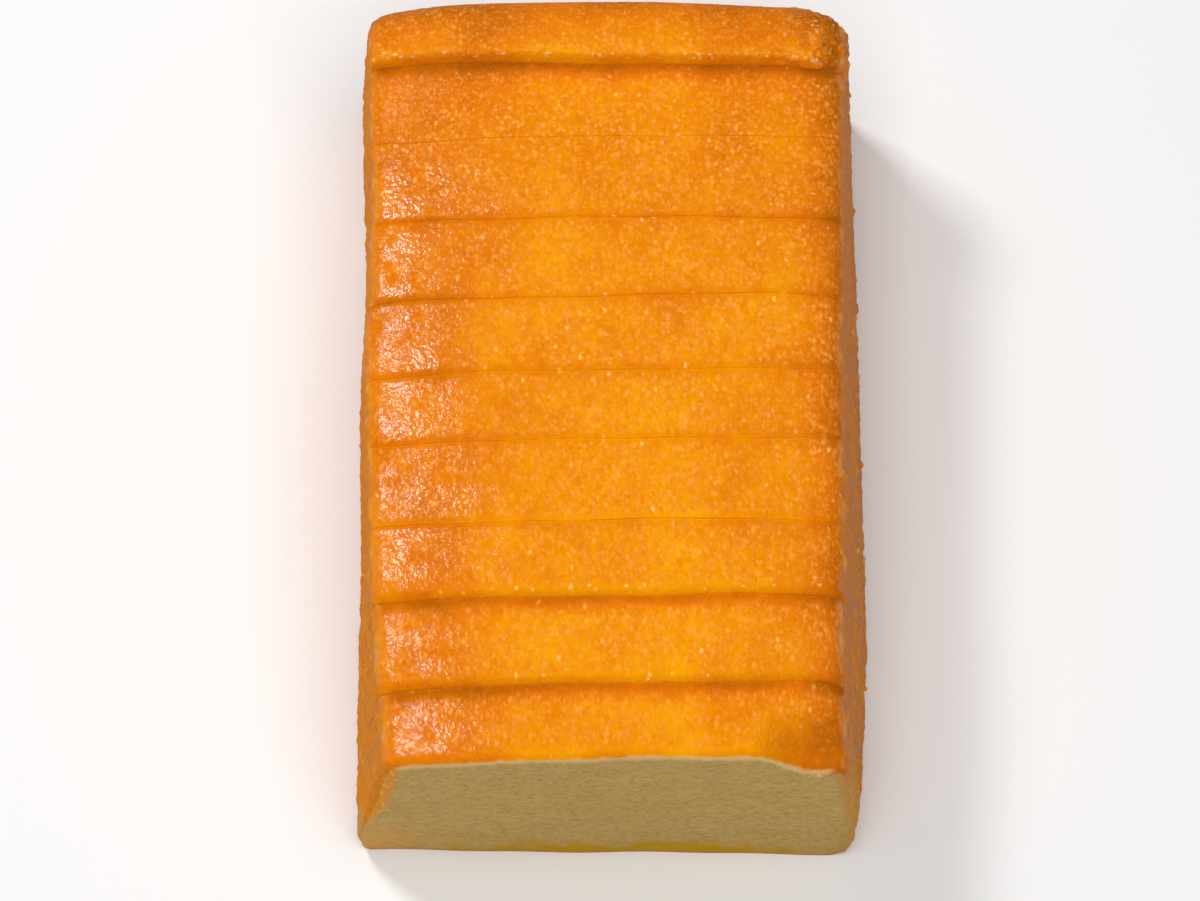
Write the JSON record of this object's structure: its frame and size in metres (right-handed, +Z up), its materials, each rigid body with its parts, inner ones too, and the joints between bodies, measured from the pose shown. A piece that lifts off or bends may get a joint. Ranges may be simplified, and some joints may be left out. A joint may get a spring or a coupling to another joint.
{
  "type": "sliced butter cake",
  "caption": "Loaf-shaped butter cake with a grainy golden-orange crust, cut across into upright slices that stay together, with a pale crumb face in front and a rounded heel behind.",
  "frame": {"origin": "middle of the loaf's flat underside, at the centre of its bounding box", "axes": "+Z up from the underside, +Y along the loaf from the cut front to the baked heel, +X across it to the right as seen from the front"},
  "size_m": [0.1116, 0.1824, 0.0649],
  "materials": {
    "cake": "satin"
  },
  "bodies": {
    "root": {"slice_01": "cake", "slice_02": "cake", "slice_03": "cake", "slice_04": "cake", "slice_05": "cake", "slice_06": "cake", "slice_07": "cake", "slice_08": "cake", "slice_09": "cake", "slice_10": "cake"}
  },
  "joints": []
}
